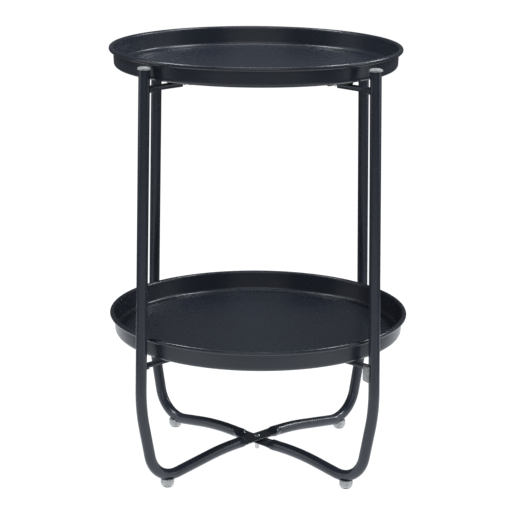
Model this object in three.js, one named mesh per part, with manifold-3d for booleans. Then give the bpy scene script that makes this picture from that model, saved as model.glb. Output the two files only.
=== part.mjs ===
// Folding side table: two round tray tops that rest on two crossed U-frames. Each frame is one
// bent steel tube, pressed flat in the middle, and one bolt through both flats is the fold pivot.
// Millimetres, +Z up. The origin is on the floor under the bolt, and the front faces -Y.
import * as THREE from 'three';
import { mergeVertices } from 'three/addons/utils/BufferGeometryUtils.js';
import Module from 'manifold-3d';

const wasm = await Module();
wasm.setup();

const gap = 0.3; // left wherever two pieces touch

// Frame tube, and its line in the plane of one frame: x out from the pivot, y up
const tubeRadius = 8;
const tubeWall = 1.2;
const tubeSides = 12;
const legTop = new THREE.Vector2(220.9, 609.2);
const knee = new THREE.Vector2(232, 128.6);
const heel = new THREE.Vector2(206, 11.2);
const crown = { a: new THREE.Vector2(75, 29.6), b: new THREE.Vector2(88, 28.2) };
const kneeRadius = 250;
const heelRadius = 48;
const crownRadius = 420;
const legTilt = Math.atan((knee.x - legTop.x) / (legTop.y - knee.y));

// Pressed middle of each tube, and the bolt through it
const flatLevel = { a: 30.5, b: 26.6 };
const flatWidth = 25.8;
const flatThickness = 2.8;
const flatHalfLength = 23;
const shoulder = 38; // the tube is round again from here outward
const boreEnd = 47; // the bore stops short of the pressed part
const boltRadius = 2;
const boltHeadRadius = 4.2;
const boltHole = boltRadius + gap;
const washerRadius = 6;
const nut = { bottom: 11.6, domeRadius: 3.3, hexRadius: 4.04, hexHeight: 3.2, endWall: 4 };

// Trays, and the supports under them
const sheet = 0.8;
const beadRadius = 3.5;
const trayCorner = 6;
const traySegments = 60;
const trays = {
  upper: { rimRadius: 210, floorRadius: 203, rimLevel: 618.6, underside: 592.9, x: -6 },
  lower: { rimRadius: 218.5, floorRadius: 211, rimLevel: 228.5, underside: 200.4, x: 0 },
};
const arm = { width: 12, thickness: { upper: 6, lower: 4 }, tip: 152 };
const rest = { from: 136.5, to: 175, thickness: 6.5, lip: 4 };
const rivet = { place: 147, shank: 2, head: 3, headHeight: { upper: 5.4, lower: 3.4 } };

// Ends of the legs, feet and the clip that holds the folded legs together
const capRadius = 9.4;
const capHeight = 4.6;
const plugLength = 12;
const foot = { place: 182, radius: 10, sole: 4.5, top: 13.1, peg: 2.5, pegTop: 16.6 };
const clip = { width: 22.6, low: 172.6, high: 195.6, from: 218, to: 229.5, corner: 6 };

const legAngles = { rear_right: 45, rear_left: 135, front_left: 225, front_right: 315 };
const frameOf = { rear_right: 'a', rear_left: 'b', front_left: 'a', front_right: 'b' };

const blackSteel = { color: 0x272b32, roughness: 0.42, metalness: 0.3 };
const blackNylon = { color: 0x17181b, roughness: 0.6, metalness: 0 };
const greyNylon = { color: 0xa9adb2, roughness: 0.45, metalness: 0 };
const zincSteel = { color: 0xb9bcc0, roughness: 0.3, metalness: 0.9 };

const table = new THREE.Group();

function addPiece(name, geometry, finish, parent = table) {
  const mesh = new THREE.Mesh(geometry, new THREE.MeshStandardMaterial(finish));
  mesh.name = name;
  parent.add(mesh);
}

// A closed geometry as a solid that can be cut
function solidOf(geometry) {
  const bare = geometry.clone();
  bare.deleteAttribute('normal');
  bare.deleteAttribute('uv');
  const merged = mergeVertices(bare);
  const corners = merged.index.array;
  const triangles = [];
  for (let k = 0; k < corners.length; k += 3) {
    const [a, b, c] = corners.slice(k, k + 3);
    if (a !== b && b !== c && c !== a) triangles.push(a, b, c);
  }
  return new wasm.Manifold(new wasm.Mesh({
    numProp: 3,
    vertProperties: merged.attributes.position.array,
    triVerts: new Uint32Array(triangles),
  }));
}

function geometryOf(solid) {
  const mesh = solid.getMesh();
  const geometry = new THREE.BufferGeometry();
  geometry.setAttribute('position', new THREE.BufferAttribute(mesh.vertProperties, 3));
  geometry.setIndex(new THREE.BufferAttribute(mesh.triVerts, 1));
  return geometry;
}

function cut(geometry, ...tools) {
  let solid = solidOf(geometry);
  for (const tool of tools) solid = solid.subtract(solidOf(tool));
  return geometryOf(solid);
}

function join(geometry, other) {
  return geometryOf(solidOf(geometry).add(solidOf(other)));
}

// A solid of revolution about Z. Its outline runs up from the axis and back to the axis.
function turned(outline, segments = tubeSides) {
  const points = outline.map(([r, z]) => new THREE.Vector2(r, z));
  return new THREE.LatheGeometry(points, segments).rotateX(Math.PI / 2);
}

function rod(radius, low, high) {
  const cylinder = new THREE.CylinderGeometry(radius, radius, high - low, tubeSides);
  return cylinder.rotateX(Math.PI / 2).translate(0, 0, (low + high) / 2);
}

// An outline seen from the side of a frame (x out, y up), as thick as width across the frame
function sideSlab(outline, width) {
  const slab = new THREE.ExtrudeGeometry(outline, { depth: width, bevelEnabled: false });
  return slab.translate(0, 0, -width / 2).rotateX(Math.PI / 2);
}

// Outline points [r, z] of an arc, angles in degrees
function arc(centreR, centreZ, radius, from, to, steps) {
  const points = [];
  for (let k = 0; k <= steps; k++) {
    const angle = THREE.MathUtils.degToRad(THREE.MathUtils.lerp(from, to, k / steps));
    points.push([centreR + radius * Math.cos(angle), centreZ + radius * Math.sin(angle)]);
  }
  return points;
}

// Points of the arc that rounds the corner from a over b to c
function bend(a, b, c, radius, steps) {
  const back = a.clone().sub(b).normalize();
  const ahead = c.clone().sub(b).normalize();
  const half = Math.acos(back.dot(ahead)) / 2;
  const centre = back.clone().add(ahead).setLength(radius / Math.sin(half)).add(b);
  const start = back.clone().setLength(radius / Math.tan(half)).add(b);
  const end = ahead.clone().setLength(radius / Math.tan(half)).add(b);
  const first = start.clone().sub(centre);
  const last = end.clone().sub(centre);
  const sweep = Math.atan2(first.cross(last), first.dot(last));
  const points = [];
  for (let k = 0; k <= steps; k++) points.push(start.clone().rotateAround(centre, sweep * k / steps));
  return points;
}

// One leg's line, from its open top round the heel to the low crown near the middle
function legLine(name) {
  const inner = new THREE.Vector2(shoulder, flatLevel[name]);
  return [
    legTop,
    ...bend(legTop, knee, heel, kneeRadius, 3),
    ...bend(knee, heel, crown[name], heelRadius, 8),
    ...bend(heel, crown[name], inner, crownRadius, 3),
  ];
}

// A line of straight steps that has one tube section at each of its points
class StepRoute extends THREE.Curve {
  constructor(points) {
    super();
    this.points = points.map((p) => new THREE.Vector3(p.x, 0, p.y));
  }

  getPoint(t, target = new THREE.Vector3()) {
    const place = t * (this.points.length - 1);
    const k = Math.min(Math.floor(place), this.points.length - 2);
    return target.lerpVectors(this.points[k], this.points[k + 1], place - k);
  }

  getPointAt(t, target) {
    return this.getPoint(t, target);
  }

  getTangentAt(t, target = new THREE.Vector3()) {
    const last = this.points.length - 1;
    const k = Math.round(t * last);
    const here = this.points[k];
    const incoming = here.clone().sub(this.points[Math.max(k - 1, 0)]).normalize();
    const outgoing = this.points[Math.min(k + 1, last)].clone().sub(here).normalize();
    return target.copy(incoming).add(outgoing).normalize();
  }
}

function tubeAlong(points, radius) {
  const section = new THREE.Shape().absarc(0, 0, radius, 0, 2 * Math.PI);
  const steps = points.length - 1;
  const extrudePath = new StepRoute(points);
  return new THREE.ExtrudeGeometry(section, { steps, curveSegments: tubeSides / 2, extrudePath });
}

// The outside of one frame's tube before its middle is pressed
function frameOutside(name, radius) {
  const level = flatLevel[name];
  const half = legLine(name);
  for (const x of [shoulder, 35, 32, 29, 26, flatHalfLength, 0]) half.push(new THREE.Vector2(x, level));
  const otherHalf = half.slice(0, -1).reverse().map((p) => new THREE.Vector2(-p.x, p.y));
  return tubeAlong([...half, ...otherHalf], radius);
}

// The press pushes what stands above and below the flat down, and the sides outward
function pressMiddle(geometry, level) {
  const place = geometry.attributes.position;
  for (let k = 0; k < place.count; k++) {
    const open = THREE.MathUtils.smoothstep(Math.abs(place.getX(k)), flatHalfLength, shoulder);
    if (open === 1) continue;
    const height = THREE.MathUtils.lerp(flatThickness / 2, tubeRadius, open);
    const spread = THREE.MathUtils.lerp(flatWidth / 2 / tubeRadius, 1, open);
    const above = THREE.MathUtils.clamp(place.getZ(k) - level, -height, height);
    place.setY(k, place.getY(k) * spread);
    place.setZ(k, level + above);
  }
  return geometry;
}

// Both legs' bores, open at the top and stopped before the pressed middle
function bores(name) {
  const line = legLine(name);
  const above = legTop.clone().add(new THREE.Vector2(-Math.tan(legTilt), 1));
  const crownEnd = line.at(-1);
  const share = (crownEnd.x - boreEnd) / (crownEnd.x - shoulder);
  const stop = crownEnd.clone().lerp(new THREE.Vector2(shoulder, flatLevel[name]), share);
  const bore = tubeAlong([above, ...line.slice(1), stop], tubeRadius - tubeWall);
  return [bore, bore.clone().rotateZ(Math.PI)];
}

function pegHoles() {
  const hole = rod(foot.peg + gap, 0, foot.pegTop).translate(foot.place, 0, 0);
  return [hole, hole.clone().rotateZ(Math.PI)];
}

function addFrame(name) {
  const level = flatLevel[name];
  const outside = pressMiddle(frameOutside(name, tubeRadius), level);
  const hole = rod(boltHole, level - flatThickness, level + flatThickness);
  const tube = cut(outside, ...bores(name), ...pegHoles(), hole);
  const turn = THREE.MathUtils.degToRad(name === 'a' ? 45 : 135);
  addPiece(`frame_${name}_tube`, tube.rotateZ(turn), blackSteel);
}

// Pressed tray: flat floor, rounded corner, flared wall, and a bead rolled outward round the rim
function addTray(name) {
  const { rimRadius, floorRadius, rimLevel, underside, x } = trays[name];
  const beadR = rimRadius - beadRadius;
  const wallTop = beadR - beadRadius + sheet;
  const outerR = floorRadius - trayCorner;
  const cornerLevel = underside + trayCorner;
  const outline = [
    [0, underside],
    ...arc(outerR, cornerLevel, trayCorner, -90, 0, 4),
    [wallTop, rimLevel - beadRadius / 2],
    ...arc(beadR, rimLevel, beadRadius, -120, 180, 9),
    ...arc(outerR, cornerLevel, trayCorner - sheet, 0, -90, 3),
    [0, underside + sheet],
  ];
  addPiece(`${name}_tray`, turned(outline, traySegments).translate(x, 0, 0), blackSteel);
}

// Domed cap with a plug that goes into the open end of the leg
function addCap(leg, parent) {
  const plugRadius = tubeRadius - tubeWall - gap;
  const outline = [
    [0, -plugLength],
    [plugRadius - 1, -plugLength],
    [plugRadius, -plugLength + 1],
    [plugRadius, gap],
    [capRadius - 0.5, gap],
    [capRadius, gap + 0.5],
    [capRadius, capHeight * 0.5],
    [capRadius * 0.93, capHeight * 0.76],
    [capRadius * 0.75, capHeight * 0.93],
    [0, capHeight],
  ];
  const cap = turned(outline, 16).rotateY(-legTilt).translate(legTop.x, 0, legTop.y);
  addPiece(`leg_cap_${leg}`, cap, greyNylon, parent);
}

// Round-bottomed foot with a saddle for the tube and a peg that snaps into the tube's underside
function addFoot(leg, parent, tube) {
  const outline = [
    [0, 0],
    [foot.sole, 0],
    [foot.radius * 0.77, 1.6],
    [foot.radius * 0.94, 4.4],
    [foot.radius, 7.8],
    [foot.radius, foot.top],
    [0, foot.top],
  ];
  const body = cut(turned(outline, 20).translate(foot.place, 0, 0), tube);
  const peg = rod(foot.peg, foot.sole, foot.pegTop - 1).translate(foot.place, 0, 0);
  addPiece(`foot_${leg}`, join(body, peg), greyNylon, parent);
}

function restTop(shelf) {
  return trays[shelf].underside - gap;
}

function armTop(shelf) {
  return restTop(shelf) - rest.thickness - gap;
}

// Flat bar from the leg toward the middle, with a round tip
function armBar(shelf, margin = 0) {
  const half = arm.width / 2 + margin;
  const root = legTop.x + (legTop.y - armTop(shelf)) * Math.tan(legTilt);
  const outline = new THREE.Shape();
  outline.moveTo(root, -half);
  outline.lineTo(root, half);
  outline.lineTo(arm.tip + arm.width / 2, half);
  outline.absarc(arm.tip + arm.width / 2, 0, half, Math.PI / 2, 3 * Math.PI / 2);
  const depth = arm.thickness[shelf] + 2 * margin;
  const bar = new THREE.ExtrudeGeometry(outline, { depth, bevelEnabled: false, curveSegments: 8 });
  return bar.translate(0, 0, armTop(shelf) - arm.thickness[shelf] - margin);
}

// Strip on the arm that the tray lies on. Its inner end turns down past the arm's tip.
function restStrip(shelf) {
  const top = restTop(shelf);
  const bottom = top - rest.thickness;
  const lipEnd = bottom - arm.thickness[shelf];
  const outline = new THREE.Shape();
  outline.moveTo(rest.from, lipEnd);
  outline.lineTo(rest.from + rest.lip, lipEnd);
  outline.lineTo(rest.from + rest.lip, bottom);
  outline.lineTo(rest.to, bottom);
  outline.lineTo(rest.to, top - 2);
  outline.lineTo(rest.to - 2, top);
  outline.lineTo(rest.from + 2, top);
  outline.lineTo(rest.from, top - 2);
  const hole = rod(rivet.shank + gap, bottom - 1, top + 1).translate(rivet.place, 0, 0);
  return cut(sideSlab(outline, arm.width), hole);
}

// Rivet with its domed head under the strip
function restRivet(shelf) {
  const shoulderLevel = restTop(shelf) - rest.thickness - gap;
  const height = rivet.headHeight[shelf];
  const outline = [
    [0, shoulderLevel - height],
    [rivet.head * 0.6, shoulderLevel - height * 0.85],
    [rivet.head, shoulderLevel - height * 0.35],
    [rivet.head, shoulderLevel],
    [rivet.shank, shoulderLevel],
    [rivet.shank, restTop(shelf) - 1],
    [0, restTop(shelf) - 1],
  ];
  return turned(outline).translate(rivet.place, 0, 0);
}

function addSupport(shelf, leg, parent, tube) {
  addPiece(`${shelf}_arm_${leg}`, cut(armBar(shelf), tube), blackSteel, parent);
  addPiece(`${shelf}_rest_${leg}`, restStrip(shelf), blackNylon, parent);
  addPiece(`${shelf}_rivet_${leg}`, restRivet(shelf), zincSteel, parent);
}

// Open clip pushed onto the inner side of a leg, straddling the lower arm
function addClip(parent, tube) {
  const outline = new THREE.Shape();
  outline.moveTo(clip.from, clip.high);
  outline.lineTo(clip.from, clip.low + clip.corner);
  outline.quadraticCurveTo(clip.from, clip.low, clip.from + clip.corner, clip.low);
  outline.lineTo(clip.to, clip.low);
  outline.lineTo(clip.to, clip.high);
  const body = cut(sideSlab(outline, clip.width), tube, armBar('lower', gap));
  addPiece('leg_clip', body, greyNylon, parent);
}

function addBolt(headLevel) {
  const shankEnd = nut.bottom + nut.endWall;
  const dome = arc(0, 0, boltHeadRadius, 15, 90, 4).map(([r, z]) => [r, headLevel + z * 0.6]);
  const outline = [
    [0, shankEnd],
    [boltRadius, shankEnd],
    [boltRadius, headLevel],
    [boltHeadRadius, headLevel],
    ...dome,
  ];
  addPiece('pivot_bolt', turned(outline, 16), zincSteel);
}

function addWasher(low, high) {
  const washer = cut(rod(washerRadius, low, high), rod(boltHole, low - 1, high + 1));
  addPiece('pivot_washer', washer, zincSteel);
}

// Cap nut, dome end down
function addNut(top) {
  const hexBottom = top - nut.hexHeight;
  const hex = new THREE.CylinderGeometry(nut.hexRadius, nut.hexRadius, nut.hexHeight, 6)
    .rotateX(Math.PI / 2)
    .translate(0, 0, top - nut.hexHeight / 2);
  const dome = turned([
    [0, nut.bottom],
    [nut.domeRadius * 0.65, nut.bottom + 0.8],
    [nut.domeRadius, nut.bottom + 3],
    [nut.domeRadius, hexBottom + gap],
    [0, hexBottom + gap],
  ]);
  const threadHole = rod(boltHole, nut.bottom + nut.endWall - gap, top + 1);
  addPiece('pivot_nut', cut(join(hex, dome), threadHole), zincSteel);
}

function addLeg(leg) {
  const place = new THREE.Group();
  place.rotation.z = THREE.MathUtils.degToRad(legAngles[leg]);
  table.add(place);
  const tube = frameOutside(frameOf[leg], tubeRadius + gap);
  addCap(leg, place);
  addFoot(leg, place, tube);
  addSupport('upper', leg, place, tube);
  addSupport('lower', leg, place, tube);
  if (leg === 'front_right') addClip(place, tube);
}

addFrame('a');
addFrame('b');
for (const leg of Object.keys(legAngles)) addLeg(leg);
addBolt(flatLevel.a + flatThickness / 2 + gap);
addWasher(flatLevel.b + flatThickness / 2 + gap, flatLevel.a - flatThickness / 2 - gap);
addNut(flatLevel.b - flatThickness / 2 - gap);
addTray('upper');
addTray('lower');

export default table;
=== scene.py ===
from math import acos, asin, atan, atan2, cos, pi, radians, sin, sqrt, tan

import bmesh
import bpy
from mathutils import Matrix, Vector


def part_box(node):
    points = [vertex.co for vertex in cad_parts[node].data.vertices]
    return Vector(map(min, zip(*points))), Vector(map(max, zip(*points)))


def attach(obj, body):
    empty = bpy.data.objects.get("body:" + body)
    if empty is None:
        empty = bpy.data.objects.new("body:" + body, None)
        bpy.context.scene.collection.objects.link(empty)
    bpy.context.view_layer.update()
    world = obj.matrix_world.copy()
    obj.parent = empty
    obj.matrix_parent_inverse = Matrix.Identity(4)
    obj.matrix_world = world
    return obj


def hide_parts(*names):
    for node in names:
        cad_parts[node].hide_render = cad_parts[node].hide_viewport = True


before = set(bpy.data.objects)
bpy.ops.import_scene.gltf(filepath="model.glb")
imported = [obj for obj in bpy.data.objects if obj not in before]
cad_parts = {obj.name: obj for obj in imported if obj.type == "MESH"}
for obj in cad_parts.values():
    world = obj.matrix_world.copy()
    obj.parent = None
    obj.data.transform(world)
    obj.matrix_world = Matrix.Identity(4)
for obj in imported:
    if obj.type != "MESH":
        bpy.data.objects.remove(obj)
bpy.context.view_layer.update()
mm = 0.001

legAngles = {"rear_right": 45, "rear_left": 135, "front_left": 225, "front_right": 315}
bodyOfLeg = {
    "rear_right": "frame_a",
    "rear_left": "frame_b",
    "front_left": "frame_a",
    "front_right": "frame_b",
}

# one frame's tube in its own plane: x out from the bolt, z up
tube = {
    "radius": 8 * mm,
    "wall": 1.2 * mm,
    "sides": 48,
    "top": Vector((220.9 * mm, 609.2 * mm)),
    "knee": Vector((232 * mm, 128.6 * mm)),
    "heel": Vector((206 * mm, 11.2 * mm)),
    "crown": {"frame_a": Vector((75 * mm, 29.6 * mm)), "frame_b": Vector((88 * mm, 28.2 * mm))},
    "kneeRadius": 250 * mm,
    "heelRadius": 48 * mm,
    "crownRadius": 420 * mm,
    "boreDepth": 16 * mm,
    "topStraight": 20 * mm,    # first stretch below the open end
    "bendSteps": {"knee": 12, "heel": 40, "crown": 24},
}

# the pressed middle of each tube
press = {
    "level": {"frame_a": 30.5 * mm, "frame_b": 26.6 * mm},
    "width": 25.8 * mm,
    "thickness": 2.8 * mm,
    "flatEnd": 25 * mm,
    "shoulder": 38 * mm,              # the line runs level from here inward
    "wings": (30 * mm, 45 * mm),      # over which the sides draw in to the round tube
    "opening": 9 * mm,                # over which the ridge rises to full height
    "lag": 4 * mm,                    # the sides rise this much later than the ridge
    "nose": 0.6,                      # under 1 the ridge rises fast first, then levels off
    "edgeShare": 0.2,                 # share of each quarter of the ring that makes the flat's round edge
    "stepLength": 0.8 * mm,
    "flatSteps": 4,
}
mergeDistance = 0.004 * mm
legTilt = atan((tube["knee"].x - tube["top"].x) / (tube["top"].y - tube["knee"].y))


# ---- materials
def addNode(tree, kind, **values):
    node = tree.nodes.new(kind)
    for name, value in values.items():
        node.inputs[name].default_value = value
    return node


def startMaterial(name):
    material = bpy.data.materials.new(name)
    material.use_nodes = True
    tree = material.node_tree
    shader = tree.nodes["Principled BSDF"]
    place = tree.nodes.new("ShaderNodeTexCoord").outputs["Object"]
    return material, tree, shader, place


def noise(tree, place, scale, detail=2, roughness=0.5):
    node = addNode(tree, "ShaderNodeTexNoise", Scale=scale, Detail=detail, Roughness=roughness)
    tree.links.new(place, node.inputs["Vector"])
    return node.outputs["Fac"]


def remap(tree, value, low, high, fromLow=0.3, fromHigh=0.7):
    node = tree.nodes.new("ShaderNodeMapRange")
    node.inputs["From Min"].default_value = fromLow
    node.inputs["From Max"].default_value = fromHigh
    node.inputs["To Min"].default_value = low
    node.inputs["To Max"].default_value = high
    tree.links.new(value, node.inputs["Value"])
    return node.outputs["Result"]


def blendColours(tree, value, first, second):
    ramp = tree.nodes.new("ShaderNodeValToRGB")
    ramp.color_ramp.elements[0].position = 0.35
    ramp.color_ramp.elements[0].color = (*first, 1)
    ramp.color_ramp.elements[1].position = 0.65
    ramp.color_ramp.elements[1].color = (*second, 1)
    tree.links.new(value, ramp.inputs["Fac"])
    return ramp.outputs["Color"]


def addBump(tree, shader, height, strength, distance):
    bump = addNode(tree, "ShaderNodeBump", Strength=strength, Distance=distance)
    tree.links.new(height, bump.inputs["Height"])
    tree.links.new(bump.outputs["Normal"], shader.inputs["Normal"])


# satin powder coat: fine orange peel, and slow changes of gloss and tone
powderCoat = {
    "tray": {"dark": (0.0193, 0.0227, 0.0320), "light": (0.0204, 0.0241, 0.0340), "gloss": (0.26, 0.28)},
    "tube": {"dark": (0.0220, 0.0260, 0.0370), "light": (0.0235, 0.0278, 0.0396), "gloss": (0.25, 0.28)},
    "toneScale": 14,
    "glossScale": 45,
    "peelScale": 620,
    "peelStrength": 0.22,
    "peelHeight": 0.12 * mm,
}


def makePowderCoat(name, tone):
    material, tree, shader, place = startMaterial(name)
    broad = noise(tree, place, powderCoat["toneScale"], 3)
    tree.links.new(blendColours(tree, broad, tone["dark"], tone["light"]), shader.inputs["Base Color"])
    patches = noise(tree, place, powderCoat["glossScale"], 4, 0.6)
    tree.links.new(remap(tree, patches, *tone["gloss"]), shader.inputs["Roughness"])
    peel = noise(tree, place, powderCoat["peelScale"], 3, 0.55)
    addBump(tree, shader, peel, powderCoat["peelStrength"], powderCoat["peelHeight"])
    return material


# nylon: cloudy tone, and the fine grain of the mould
moulded = {
    "cap": {
        "dark": (0.25, 0.25, 0.245),
        "light": (0.42, 0.42, 0.41),
        "gloss": (0.38, 0.5),
        "glow": 0.10,
        "grain": 900,
    },
    "foot": {
        "dark": (0.34, 0.34, 0.335),
        "light": (0.54, 0.54, 0.53),
        "gloss": (0.22, 0.36),
        "glow": 0.25,
        "grain": 500,
    },
    "rest": {
        "dark": (0.012, 0.012, 0.013),
        "light": (0.020, 0.020, 0.022),
        "gloss": (0.5, 0.62),
        "glow": 0,
        "grain": 1200,
    },
    "cloudScale": 160,
    "glossScale": 300,
    "glowDepth": 3 * mm,
    "grainStrength": 0.25,
    "grainHeight": 0.1 * mm,
}


def makeMoulded(name, look):
    material, tree, shader, place = startMaterial(name)
    cloud = noise(tree, place, moulded["cloudScale"], 4, 0.6)
    tree.links.new(blendColours(tree, cloud, look["dark"], look["light"]), shader.inputs["Base Color"])
    patches = noise(tree, place, moulded["glossScale"], 3)
    tree.links.new(remap(tree, patches, *look["gloss"]), shader.inputs["Roughness"])
    shader.inputs["Subsurface Weight"].default_value = look["glow"]
    shader.inputs["Subsurface Radius"].default_value = (moulded["glowDepth"],) * 3
    grain = noise(tree, place, look["grain"], 3)
    addBump(tree, shader, grain, moulded["grainStrength"], moulded["grainHeight"])
    return material


# bright zinc plate on the bolt, washer, nut and rivets
zinc = {
    "bright": (0.60, 0.60, 0.59),
    "dim": (0.44, 0.44, 0.44),
    "spangleScale": 900,
    "gloss": (0.2, 0.36),
    "glossScale": 700,
    "grainScale": 1500,
    "grainStrength": 0.15,
    "grainHeight": 0.05 * mm,
}


def makeZinc(name):
    material, tree, shader, place = startMaterial(name)
    shader.inputs["Metallic"].default_value = 1.0
    spangle = tree.nodes.new("ShaderNodeTexVoronoi")
    spangle.inputs["Scale"].default_value = zinc["spangleScale"]
    tree.links.new(place, spangle.inputs["Vector"])
    tone = blendColours(tree, spangle.outputs["Distance"], zinc["bright"], zinc["dim"])
    tree.links.new(tone, shader.inputs["Base Color"])
    patches = noise(tree, place, zinc["glossScale"], 3)
    tree.links.new(remap(tree, patches, *zinc["gloss"]), shader.inputs["Roughness"])
    addBump(tree, shader, noise(tree, place, zinc["grainScale"]), zinc["grainStrength"], zinc["grainHeight"])
    return material


finishes = {
    "tray_coating": makePowderCoat("trayCoating", powderCoat["tray"]),
    "frame_coating": makePowderCoat("tubeCoating", powderCoat["tube"]),
    "rest_nylon": makeMoulded("restNylon", moulded["rest"]),
    "foot_nylon": makeMoulded("footNylon", moulded["foot"]),
    "cap_nylon": makeMoulded("capNylon", moulded["cap"]),
    "zinc_steel": makeZinc("zincPlate"),
}
print("materials ready:", len(finishes))


# ---- helpers for mesh work
def finishPiece(name, bm, body, node, slotName, sharp=38):
    bmesh.ops.remove_doubles(bm, verts=bm.verts, dist=mergeDistance)
    bmesh.ops.recalc_face_normals(bm, faces=bm.faces)
    mesh = bpy.data.meshes.new(name)
    bm.to_mesh(mesh)
    bm.free()
    mesh.materials.append(finishes[slotName])
    mesh.shade_smooth()
    mesh.set_sharp_from_angle(angle=radians(sharp))
    piece = bpy.data.objects.new(name, mesh)
    bpy.context.scene.collection.objects.link(piece)
    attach(piece, body)
    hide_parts(node)
    return piece


def arcPoints(cx, cz, radius, fromAngle, toAngle, steps):
    turn = [radians(fromAngle + (toAngle - fromAngle) * k / steps) for k in range(steps + 1)]
    return [Vector((cx + radius * cos(a), cz + radius * sin(a))) for a in turn]


def spinOutline(points, steps):
    # turns an open outline (distance from the axis, height) about the vertical
    bm = bmesh.new()
    verts = [bm.verts.new((p[0], 0, p[1])) for p in points]
    edges = [bm.edges.new(pair) for pair in zip(verts, verts[1:])]
    bmesh.ops.spin(bm, geom=verts + edges, cent=(0, 0, 0), axis=(0, 0, 1), angle=2 * pi, steps=steps,
                   use_merge=True)
    bmesh.ops.remove_doubles(bm, verts=bm.verts, dist=mergeDistance)
    return bm


def sheetOutline(line, thickness):
    # both faces of a sheet that follows this line, as one closed outline
    upper = []
    lower = []
    for k, point in enumerate(line):
        run = (line[min(k + 1, len(line) - 1)] - line[max(k - 1, 0)]).normalized()
        across = Vector((-run.y, run.x)) * thickness / 2
        upper.append(point + across)
        lower.append(point - across)
    return upper + lower[::-1]


def moveOut(bm, distance, height=0.0):
    bmesh.ops.translate(bm, verts=bm.verts, vec=(distance, 0, height))


def turnAbout(bm, angle, axis="Z"):
    bmesh.ops.rotate(bm, verts=bm.verts, cent=(0, 0, 0), matrix=Matrix.Rotation(angle, 3, axis))


def turnToLeg(bm, leg):
    turnAbout(bm, radians(legAngles[leg]))


def roundEdges(bm, edges, offset, segments):
    bmesh.ops.bevel(bm, geom=list(edges), offset=offset, segments=segments, profile=0.5, affect="EDGES",
                    clamp_overlap=True, material=-1)


def sharpEdges(bm, angle=40):
    return [e for e in bm.edges if len(e.link_faces) == 2 and e.calc_face_angle() > radians(angle)]


def liftFace(bm, outline, reach):
    # a solid block with this outline, its faces pointing out
    face = bm.faces.new([bm.verts.new(point) for point in outline])
    made = bmesh.ops.extrude_face_region(bm, geom=[face])["geom"]
    bmesh.ops.translate(bm, verts=[g for g in made if isinstance(g, bmesh.types.BMVert)], vec=reach)
    bmesh.ops.recalc_face_normals(bm, faces=bm.faces)


def legDistance(height):
    # how far out the leg's middle line is at this height
    return tube["top"].x + (tube["top"].y - height) * tan(legTilt)


# ---- trays
trayLook = {
    "sheet": 0.8 * mm,
    "beadRadius": 3.5 * mm,
    "corner": 6 * mm,
    "rolled": 332,      # degrees that the rim is rolled round
    "steps": 240,
    "cornerSteps": 14,
    "rimSteps": 34,
    "upper": {"rimRadius": 210 * mm, "floorRadius": 203 * mm, "depth": 25.7 * mm},
    "lower": {"rimRadius": 218.5 * mm, "floorRadius": 211 * mm, "depth": 28.1 * mm},
}


def makeTray(which):
    low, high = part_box(which + "_tray")
    size = trayLook[which]
    half = trayLook["sheet"] / 2
    bead = trayLook["beadRadius"]
    beadOut = size["rimRadius"] - bead
    rimLevel = low.z + size["depth"]
    corner = trayLook["corner"] - half
    cornerOut = size["floorRadius"] - half - corner
    floor = low.z + half
    line = [Vector((share * cornerOut, floor)) for share in (0, 0.15, 0.4, 0.7, 0.88, 0.97)]
    line += arcPoints(cornerOut, floor + corner, corner, -90, -3, trayLook["cornerSteps"])
    wallFoot = line[-1]
    wallTop = Vector((beadOut - bead + half, rimLevel))
    line += [wallFoot.lerp(wallTop, share) for share in (0.08, 0.3, 0.6, 0.9)]
    line += arcPoints(beadOut, rimLevel, bead - half, 180, 180 - trayLook["rolled"], trayLook["rimSteps"])
    bm = spinOutline(sheetOutline(line, trayLook["sheet"]), trayLook["steps"])
    moveOut(bm, (low.x + high.x) / 2)
    finishPiece(which + "_tray_shell", bm, which + "_tray", which + "_tray", "tray_coating")


for which in ("upper", "lower"):
    makeTray(which)
print("trays made")


# ---- frame tubes
def cornerArc(before, corner, after, radius):
    # where the arc that rounds a corner starts, its centre, and how far it turns
    back = (before - corner).normalized()
    ahead = (after - corner).normalized()
    half = acos(back.dot(ahead)) / 2
    centre = corner + (back + ahead).normalized() * radius / sin(half)
    start = corner + back * radius / tan(half)
    end = corner + ahead * radius / tan(half)
    first = start - centre
    last = end - centre
    sweep = atan2(first.x * last.y - first.y * last.x, first.dot(last))
    return start, centre, sweep


def ringParts(geom):
    verts = [g for g in geom if isinstance(g, bmesh.types.BMVert)]
    found = set(verts)
    edges = [g for g in geom if isinstance(g, bmesh.types.BMEdge) and found.issuperset(g.verts)]
    return verts, edges


def extrudeRing(bm, edges, step):
    made = bmesh.ops.extrude_edge_only(bm, edges=edges)["geom"]
    verts, edges = ringParts(made)
    bmesh.ops.translate(bm, verts=verts, vec=step)
    return verts, edges


def ringMiddle(verts):
    return sum((v.co for v in verts), Vector()) / len(verts)


def bendRing(bm, verts, edges, arc, steps):
    start, centre, sweep = arc
    step = Vector((start.x, 0, start.y)) - ringMiddle(verts)
    verts, edges = extrudeRing(bm, edges, step)
    made = bmesh.ops.spin(bm, geom=verts + edges, cent=(centre.x, 0, centre.y), axis=(0, -1, 0),
                          angle=sweep, steps=steps, use_merge=False)["geom_last"]
    return ringParts(made)


def smoothShare(value, low, high):
    share = min(max((value - low) / (high - low), 0), 1)
    return share * share * (3 - 2 * share)


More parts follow.
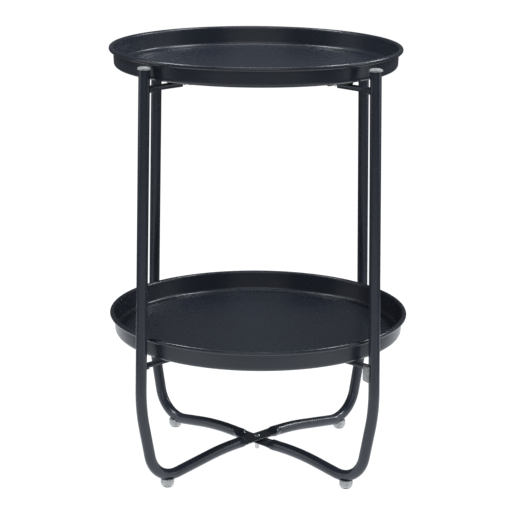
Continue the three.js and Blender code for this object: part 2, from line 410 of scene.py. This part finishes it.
def pressSection(bm, level, crownEnd):
    # the die leaves a flat with round edges, and a rounded nose where the tube's ridge rises again
    half = press["thickness"] / 2
    flatHalf = press["width"] / 2 - half
    edgeShare = press["edgeShare"]
    for v in bm.verts:
        far = abs(v.co.x)
        if far > press["wings"][1]:
            continue
        rise = (far - press["shoulder"]) / (crownEnd.x - press["shoulder"])
        middle = level + (crownEnd.z - level) * max(rise, 0)
        across = v.co.y
        above = v.co.z - middle
        angle = atan2(abs(above), abs(across))
        share = angle / (pi / 2)
        if share < edgeShare:
            turn = share / edgeShare * pi / 2
            flatAcross = flatHalf + half * cos(turn)
            flatAbove = half * sin(turn)
        else:
            flatAcross = flatHalf * (1 - share) / (1 - edgeShare)
            flatAbove = half
        sideways = smoothShare(far, *press["wings"])
        start = press["flatEnd"] + press["lag"] * cos(angle) ** 2
        upward = smoothShare(far, start, start + press["opening"]) ** press["nose"]
        newAcross = flatAcross + (abs(across) - flatAcross) * sideways
        newAbove = flatAbove + (abs(above) - flatAbove) * upward
        v.co.y = newAcross if across >= 0 else -newAcross
        v.co.z = middle + (newAbove if above >= 0 else -newAbove)


def makeFrame(body):
    level = press["level"][body]
    middle = Vector((press["shoulder"], level))
    bm = bmesh.new()
    lean = Matrix.Rotation(-legTilt, 4, "Y")
    atTop = Matrix.Translation((tube["top"].x, 0, tube["top"].y)) @ lean
    bmesh.ops.create_circle(bm, segments=tube["sides"], radius=tube["radius"], matrix=atTop)
    topEdges = bm.edges[:]
    knee = cornerArc(tube["top"], tube["knee"], tube["heel"], tube["kneeRadius"])
    heel = cornerArc(tube["knee"], tube["heel"], tube["crown"][body], tube["heelRadius"])
    crown = cornerArc(tube["heel"], tube["crown"][body], middle, tube["crownRadius"])
    down, edges = extrudeRing(bm, topEdges, lean.to_3x3() @ Vector((0, 0, -tube["topStraight"])))
    down, edges = bendRing(bm, down, edges, knee, tube["bendSteps"]["knee"])
    down, edges = bendRing(bm, down, edges, heel, tube["bendSteps"]["heel"])
    down, edges = bendRing(bm, down, edges, crown, tube["bendSteps"]["crown"])
    crownEnd = ringMiddle(down)
    steps = round((crownEnd.x - middle.x) / press["stepLength"])
    for _ in range(steps):
        down, edges = extrudeRing(bm, edges, (Vector((middle.x, 0, middle.y)) - crownEnd) / steps)
    for v in down:
        v.co.x = middle.x    # the tube runs level from here
    x = middle.x
    while x > 0.01 * mm:
        step = press["stepLength"] if x > press["flatEnd"] else press["flatEnd"] / press["flatSteps"]
        step = min(step, x)
        down, edges = extrudeRing(bm, edges, (-step, 0, 0))
        x -= step
    pressSection(bm, level, crownEnd)
    # open upper end: the wall's edge, and the bore that the cap's plug goes into
    lip, lipEdges = extrudeRing(bm, topEdges, (0, 0, 0))
    shrink = (tube["radius"] - tube["wall"]) / tube["radius"]
    spot = Matrix.Translation(-ringMiddle(lip))
    bmesh.ops.scale(bm, verts=lip, vec=(shrink,) * 3, space=spot)
    _, floorEdges = extrudeRing(bm, lipEdges, lean.to_3x3() @ Vector((0, 0, -tube["boreDepth"])))
    bmesh.ops.contextual_create(bm, geom=floorEdges)
    # the other half, and the turn to its diagonal
    bmesh.ops.mirror(bm, geom=bm.verts[:] + bm.edges[:] + bm.faces[:], matrix=Matrix(), merge_dist=0.01 * mm,
                     axis="X")
    turnToLeg(bm, "rear_right" if body == "frame_a" else "rear_left")
    finishPiece(body + "_bent_tube", bm, body, body + "_tube", "frame_coating", sharp=50)


for body in ("frame_a", "frame_b"):
    makeFrame(body)
print("frame tubes made")


# ---- caps in the legs' open ends
capLook = {
    "radius": 9.4 * mm,
    "height": 4.6 * mm,
    "side": 2.1 * mm,             # height of the side, below the rounded top
    "fullness": (0.75, 0.9),      # across and upward, under 1 for a flatter top
    "edge": 0.5 * mm,
    "plugRadius": 6.5 * mm,
    "plug": 12 * mm,
    "plugEdge": 1 * mm,
    "gap": 0.3 * mm,
}


def makeCap(leg):
    look = capLook
    edge = look["edge"]
    line = [Vector((0, -look["plug"])), Vector((look["plugRadius"] - look["plugEdge"], -look["plug"]))]
    line.append(Vector((look["plugRadius"], -look["plug"] + look["plugEdge"])))
    line.append(Vector((look["plugRadius"], look["gap"])))
    line += arcPoints(look["radius"] - edge, look["gap"] + edge, edge, -90, 0, 5)
    # the top rounds over from the side, and is nearly level in the middle
    across, upward = look["fullness"]
    for k in range(15):
        angle = pi / 2 * k / 14
        out = look["radius"] * cos(angle) ** across
        line.append(Vector((out, look["side"] + (look["height"] - look["side"]) * sin(angle) ** upward)))
    line[-1].x = 0
    bm = spinOutline(line, 56)
    turnAbout(bm, -legTilt, "Y")
    moveOut(bm, tube["top"].x, tube["top"].y)
    turnToLeg(bm, leg)
    finishPiece("cap_" + leg, bm, bodyOfLeg[leg], "leg_cap_" + leg, "cap_nylon", sharp=30)


# ---- feet
footLook = {
    "place": 182 * mm,
    "radius": 10 * mm,
    "top": 13.1 * mm,
    "sole": 4.2 * mm,
    "bowl": 8.4 * mm,     # height over which the bottom rounds up to the side
    "edge": 0.8 * mm,
    "gap": 0.25 * mm,     # left under the tube
    "least": 2 * mm,      # the saddle under the tube never cuts lower than this
}


def underTube(x, y):
    # height of the underside of the heel's bend above the point (x, y)
    # one frame's bend serves for both, which are nearly alike
    _, centre, _ = cornerArc(tube["knee"], tube["heel"], tube["crown"]["frame_a"], tube["heelRadius"])
    section = tube["radius"] + footLook["gap"]
    if abs(y) >= section:
        return footLook["top"]    # beside the tube nothing is cut away
    reach = tube["heelRadius"] + sqrt(section ** 2 - y ** 2)
    return centre.y - sqrt(max(reach ** 2 - (x - centre.x) ** 2, 0))


def makeFoot(leg):
    look = footLook
    edge = look["edge"]
    line = [Vector((0, 0)), Vector((look["sole"] * 0.6, 0)), Vector((look["sole"], 0))]
    for k in range(1, 12):
        angle = pi / 2 * k / 11
        out = look["sole"] + (look["radius"] - look["sole"]) * sin(angle)
        line.append(Vector((out, look["bowl"] * (1 - cos(angle)))))
    line.append(Vector((look["radius"], look["top"] - edge)))
    line += arcPoints(look["radius"] - edge, look["top"] - edge, edge, 0, 90, 4)[1:]
    # rings on the top, so that the saddle under the tube comes out round
    for share in (0.85, 0.75, 0.65, 0.55, 0.45, 0.35, 0.2, 0.1, 0):
        line.append(Vector((look["radius"] * share, look["top"])))
    bm = spinOutline(line, 48)
    moveOut(bm, look["place"])
    for v in bm.verts:
        v.co.z = min(v.co.z, max(underTube(v.co.x, v.co.y), look["least"]))
    turnToLeg(bm, leg)
    finishPiece("foot_button_" + leg, bm, bodyOfLeg[leg], "foot_" + leg, "foot_nylon", sharp=30)


# ---- arms under the trays, what lies on them, and their rivets
armLook = {
    "width": 12 * mm,
    "thickness": {"upper": 6 * mm, "lower": 4 * mm},
    "tip": 152 * mm,
    "sink": 1.2 * mm,      # how far the root goes into the tube's wall
    "edge": 0.6 * mm,
}
weldLook = {
    "width": 15.5 * mm,
    "spare": 2.2 * mm,     # below the bar; above it there is half as much
    "depth": 6.5 * mm,
    "cuts": 7,
    "rounds": 9,
    "ripple": 0.22 * mm,
    "ripplePitch": 2300,   # radians to the metre
}
restLook = {"from": 136.5 * mm, "to": 175 * mm, "thickness": 6.5 * mm, "lip": 4 * mm, "edge": 0.7 * mm}
rivetLook = {
    "place": 147 * mm,
    "head": 3 * mm,
    "headHeight": {"upper": 5.4 * mm, "lower": 3.4 * mm},
    "headSide": 0.8 * mm,
    "shank": 2 * mm,
}


def boxMesh(bm, low, high):
    size = Vector(high) - Vector(low)
    middle = (Vector(high) + Vector(low)) / 2
    matrix = Matrix.Translation(middle) @ Matrix.Diagonal((*size, 1))
    bmesh.ops.create_cube(bm, size=1, matrix=matrix)


def makeArm(leg, shelf):
    look = armLook
    low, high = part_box(f"{shelf}_arm_{leg}")
    half = look["width"] / 2
    root = legDistance(high.z) - tube["radius"] + look["sink"]
    bm = bmesh.new()
    boxMesh(bm, (look["tip"], -half, low.z), (root, half, high.z))
    upright = [e for e in bm.edges if abs(e.verts[0].co.z - e.verts[1].co.z) > mm]
    tipEdges = [e for e in upright if e.verts[0].co.x < look["tip"] + mm]
    roundEdges(bm, tipEdges, half - 0.01 * mm, 14)
    roundEdges(bm, sharpEdges(bm), look["edge"], 3)
    # weld bead round the root
    weld = bmesh.new()
    boxMesh(weld, (root - weldLook["depth"] / 2, -weldLook["width"] / 2, low.z - weldLook["spare"]),
            (root + weldLook["depth"] / 2, weldLook["width"] / 2, high.z + weldLook["spare"] / 2))
    bmesh.ops.subdivide_edges(weld, edges=weld.edges[:], cuts=weldLook["cuts"], use_grid_fill=True)
    for _ in range(weldLook["rounds"]):
        bmesh.ops.smooth_vert(weld, verts=weld.verts, factor=0.5, use_axis_x=True, use_axis_y=True,
                              use_axis_z=True)
    for v in weld.verts:
        v.co.x -= weldLook["ripple"] * sin(v.co.y * weldLook["ripplePitch"])
    mesh = bpy.data.meshes.new("weld")
    weld.to_mesh(mesh)
    weld.free()
    bm.from_mesh(mesh)
    bpy.data.meshes.remove(mesh)
    turnToLeg(bm, leg)
    finishPiece(f"{shelf}_bar_{leg}", bm, bodyOfLeg[leg], f"{shelf}_arm_{leg}", "frame_coating")


def makeRest(leg, shelf):
    look = restLook
    _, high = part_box(f"{shelf}_rest_{leg}")
    top = high.z
    under = top - look["thickness"]
    half = armLook["width"] / 2
    lipIn = look["from"]
    lipOut = lipIn + look["lip"]
    lipEnd = under - armLook["thickness"][shelf]    # the lip turns down past the bar's tip
    outline = [(lipIn, lipEnd), (lipOut, lipEnd), (lipOut, under), (look["to"], under),
               (look["to"], top), (lipIn, top)]
    bm = bmesh.new()
    liftFace(bm, [(x, -half, z) for x, z in outline], (0, 2 * half, 0))
    roundEdges(bm, sharpEdges(bm), look["edge"], 3)
    turnToLeg(bm, leg)
    finishPiece(f"{shelf}_strip_{leg}", bm, bodyOfLeg[leg], f"{shelf}_rest_{leg}", "rest_nylon")


def makeRivet(leg, shelf):
    look = rivetLook
    low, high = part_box(f"{shelf}_rivet_{leg}")
    seat = low.z + look["headHeight"][shelf]
    shoulder = seat - look["headSide"]
    line = [Vector((0, low.z))]
    for k in range(1, 11):
        angle = pi / 2 * k / 10
        line.append(Vector((look["head"] * sin(angle), shoulder - (shoulder - low.z) * cos(angle))))
    line += [Vector((look["head"], seat)), Vector((look["shank"], seat))]
    line += [Vector((look["shank"], high.z)), Vector((0, high.z))]
    bm = spinOutline(line, 32)
    moveOut(bm, look["place"])
    turnToLeg(bm, leg)
    finishPiece(f"{shelf}_rivet_head_{leg}", bm, bodyOfLeg[leg], f"{shelf}_rivet_{leg}", "zinc_steel")


for leg in legAngles:
    makeCap(leg)
    makeFoot(leg)
    for shelf in ("upper", "lower"):
        makeArm(leg, shelf)
        makeRest(leg, shelf)
        makeRivet(leg, shelf)
print("caps, feet and supports made")


# ---- pivot bolt, washer and cap nut
boltLook = {
    "shank": 2 * mm,
    "head": 4.2 * mm,
    "headRise": 2.5 * mm,
    "headStart": radians(8),      # the dome's arc starts this far above its widest level
    "socket": 1.25 * mm,
    "socketDepth": 1.3 * mm,
    "drillPoint": 0.3 * mm,
}
washerLook = {"play": 0.3 * mm, "edge": 0.12 * mm}
nutLook = {"hex": 4.04 * mm, "hexHeight": 3.2 * mm, "dome": 3.3 * mm, "edge": 0.35 * mm}


def makeBolt():
    look = boltLook
    low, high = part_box("pivot_bolt")
    seat = high.z - look["headRise"]
    line = [Vector((0, low.z)), Vector((look["shank"], low.z))]
    line += [Vector((look["shank"], seat)), Vector((look["head"], seat))]
    across = look["socket"] / cos(pi / 6)
    for k in range(13):
        angle = look["headStart"] + (pi / 2 - look["headStart"]) * k / 12
        out = max(look["head"] * cos(angle), across)
        line.append(Vector((out, seat + look["headRise"] * sin(angle) * 0.98)))
        if out == across:
            break
    line.append(Vector((across, line[-1].y - look["socketDepth"])))
    line.append(Vector((0, line[-1].y - look["drillPoint"])))
    bm = spinOutline(line, 48)
    # the socket's wall is six-sided
    for v in bm.verts:
        reach = v.co.xy.length
        if v.co.z > seat - 0.5 * mm and 0.5 * mm < reach < across + 0.01 * mm:
            corner = (atan2(v.co.y, v.co.x) % (pi / 3)) - pi / 6
            v.co.xy = v.co.xy * (look["socket"] / cos(corner) / reach)
    finishPiece("pivot_bolt_head", bm, "frame_a", "pivot_bolt", "zinc_steel", sharp=35)


def makeWasher():
    low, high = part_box("pivot_washer")
    outer = high.x
    inner = boltLook["shank"] + washerLook["play"]
    edge = washerLook["edge"]
    line = [(inner, low.z), (outer - edge, low.z), (outer, low.z + edge), (outer, high.z - edge),
            (outer - edge, high.z), (inner, high.z), (inner, low.z)]
    finishPiece("pivot_washer_ring", spinOutline(line, 48), "frame_a", "pivot_washer", "zinc_steel")


def makeNut():
    look = nutLook
    low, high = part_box("pivot_nut")
    hexLow = high.z - look["hexHeight"]
    line = [Vector((0, low.z))]
    for k in range(1, 13):
        angle = pi / 2 * k / 12
        line.append(Vector((look["dome"] * sin(angle), low.z + look["dome"] * (1 - cos(angle)))))
    line += [Vector((look["dome"], hexLow)), Vector((0, hexLow))]
    bm = spinOutline(line, 48)
    place = Matrix.Translation((0, 0, (high.z + hexLow) / 2))
    made = bmesh.ops.create_cone(bm, cap_ends=True, segments=6, radius1=look["hex"], radius2=look["hex"],
                                 depth=look["hexHeight"], matrix=place)["verts"]
    hexVerts = set(made)
    hexEdges = [e for e in bm.edges if hexVerts.issuperset(e.verts)]
    roundEdges(bm, hexEdges, look["edge"], 3)
    finishPiece("pivot_cap_nut", bm, "frame_a", "pivot_nut", "zinc_steel", sharp=35)


makeBolt()
makeWasher()
makeNut()
print("pivot made")


# ---- clip on the front right leg
clipLook = {
    "width": 22.6 * mm,
    "from": 218 * mm,
    "to": 229.5 * mm,
    "corner": 6 * mm,
    "side": 2.5 * mm,
    "edge": 0.5 * mm,
    "gap": 0.3 * mm,      # to the tube, and round the arm
    "cutSpare": 5 * mm,
}


def makeClip():
    look = clipLook
    low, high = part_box("leg_clip")
    legOut = legDistance((low.z + high.z) / 2)
    half = look["width"] / 2
    side = look["side"]
    grip = tube["radius"] + look["gap"]
    opening = asin((legOut - look["to"]) / grip)
    outline = [Vector((look["to"], -half))]
    outline += arcPoints(look["from"] + side, -half + side, side, 270, 180, 6)
    outline += arcPoints(look["from"] + side, half - side, side, 180, 90, 6)
    outline.append(Vector((look["to"], half)))
    for k in range(21):
        angle = pi / 2 + opening + (pi - 2 * opening) * k / 20
        outline.append(Vector((legOut + grip * cos(angle), grip * sin(angle))))
    bm = bmesh.new()
    liftFace(bm, [(p.x, p.y, low.z) for p in outline], (0, 0, high.z - low.z))
    # the lower inner corner is round
    for v in bm.verts:
        near = look["from"] + look["corner"] - v.co.x
        if near > 0 and v.co.z < low.z + mm:
            v.co.z += look["corner"] - sqrt(max(look["corner"] ** 2 - near ** 2, 0))
    roundEdges(bm, sharpEdges(bm, 60), look["edge"], 2)
    turnToLeg(bm, "front_right")
    cutArmSlot(finishPiece("leg_clip_body", bm, "frame_b", "leg_clip", "cap_nylon", sharp=35), high.z)


def cutArmSlot(clip, top):
    look = clipLook
    armLow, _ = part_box("lower_arm_front_right")
    half = armLook["width"] / 2 + look["gap"]
    slot = bmesh.new()
    boxMesh(slot, (look["from"] - look["cutSpare"], -half, armLow.z - look["gap"]),
            (look["to"] + look["cutSpare"], half, top + look["cutSpare"]))
    turnToLeg(slot, "front_right")
    cutterMesh = bpy.data.meshes.new("armSlot")
    slot.to_mesh(cutterMesh)
    slot.free()
    cutter = bpy.data.objects.new("armSlot", cutterMesh)
    bpy.context.scene.collection.objects.link(cutter)
    cut = clip.modifiers.new("armSlot", "BOOLEAN")
    cut.operation = "DIFFERENCE"
    cut.solver = "EXACT"
    cut.object = cutter
    bpy.context.view_layer.update()
    finished = bpy.data.meshes.new_from_object(clip.evaluated_get(bpy.context.evaluated_depsgraph_get()))
    clip.modifiers.clear()
    clip.data = finished
    bpy.data.objects.remove(cutter)


makeClip()
print("clip made")


# ---- floor, light and camera
studio = {
    "floor": (0.10, 0.10, 0.10),
    "floorGlow": (1.0, 1.0, 1.0),
    "floorRadius": 14,
    "coveRadius": 6,
    "wallHeight": 24,
    "tint": (0.91, 0.955, 1.0),
    "world": 0.09,
    "lights": {
        # name: place, aim, width, height, watts
        "overhead": ((0, 0.0, 3.2), (0, 0, 0.3), 1.3, 1.3, 22),
        "underside": ((0, 0.05, 0.001), (0, 0.05, 1), 1.4, 1.4, 7),
        "frontFloor": ((0, -1.5, 0.001), (0, -1.5, 1), 2.6, 1.7, 8.8),
        "front": ((0, -4.2, 2.2), (0, 0, 0.4), 4.0, 3.0, 54),
        "left": ((-2.4, -0.2, 0.9), (0, 0, 0.4), 1.2, 1.6, 10),
        "right": ((2.4, -0.2, 0.9), (0, 0, 0.4), 1.2, 1.6, 10),
        "rightHigh": ((2.2, 0.85, 1.75), (0, 0, 0.1), 0.6, 0.6, 20),
        "leftTop": ((-1.6, 0, 2.6), (0, 0, 0.5), 0.7, 0.7, 38),
        "rightTop": ((1.6, 0, 2.6), (0, 0, 0.5), 0.7, 0.7, 38),
    },
}
cameraLook = {
    "distance": 2.6796,
    "height": 1.00224,
    "down": 0.2532,      # radians, as are the next two
    "roll": 0.0080,
    "turn": 0.0006,
    "lens": 131.765,
    "sensor": 36,
}


def makeFloor():
    # level floor that curves up into a plain wall far away on every side
    flat = studio["floorRadius"]
    cove = studio["coveRadius"]
    line = [Vector((0, 0)), Vector((cove, 0)), Vector((flat, 0))]
    line += arcPoints(flat, cove, cove, -90, 0, 12)
    line.append(Vector((flat + cove, studio["wallHeight"])))
    bm = spinOutline(line, 64)
    bmesh.ops.recalc_face_normals(bm, faces=bm.faces)
    mesh = bpy.data.meshes.new("studioFloor")
    bm.to_mesh(mesh)
    bm.free()
    mesh.shade_smooth()
    material, _, shader, _ = startMaterial("studioFloor")
    shader.inputs["Base Color"].default_value = (*studio["floor"], 1)
    shader.inputs["Emission Color"].default_value = (*studio["floorGlow"], 1)
    shader.inputs["Emission Strength"].default_value = 1.0
    shader.inputs["Roughness"].default_value = 0.9
    shader.inputs["Specular IOR Level"].default_value = 0.0
    mesh.materials.append(material)
    floor = bpy.data.objects.new("studioFloor", mesh)
    bpy.context.scene.collection.objects.link(floor)
    floor.visible_glossy = False      # the lights alone show in the coating
    floor.visible_diffuse = False


def makeLights():
    for name, (place, aim, width, height, watts) in studio["lights"].items():
        lamp = bpy.data.lights.new(name, "AREA")
        lamp.shape = "RECTANGLE"
        lamp.size = width
        lamp.size_y = height
        lamp.energy = watts
        lamp.color = studio["tint"]
        light = bpy.data.objects.new(name, lamp)
        light.location = place
        light.rotation_euler = (Vector(aim) - Vector(place)).to_track_quat("-Z", "Y").to_euler()
        light.visible_camera = False
        bpy.context.scene.collection.objects.link(light)
    world = bpy.data.worlds.new("studio")
    world.use_nodes = True
    tint = [studio["world"] * part for part in studio["tint"]]
    world.node_tree.nodes["Background"].inputs["Color"].default_value = (*tint, 1)
    bpy.context.scene.world = world


def makeCamera():
    look = cameraLook
    camera = bpy.data.objects.new("camera", bpy.data.cameras.new("camera"))
    camera.data.lens = look["lens"]
    camera.data.sensor_width = look["sensor"]
    place = Matrix.Translation((0, -look["distance"], look["height"]))
    aim = Matrix.Rotation(look["turn"], 4, "Z") @ Matrix.Rotation(pi / 2 - look["down"], 4, "X")
    camera.matrix_world = place @ aim @ Matrix.Rotation(look["roll"], 4, "Z")
    bpy.context.scene.collection.objects.link(camera)
    bpy.context.scene.camera = camera
    bpy.context.scene.view_settings.view_transform = "Standard"


makeFloor()
makeLights()
makeCamera()

print("scene ready")
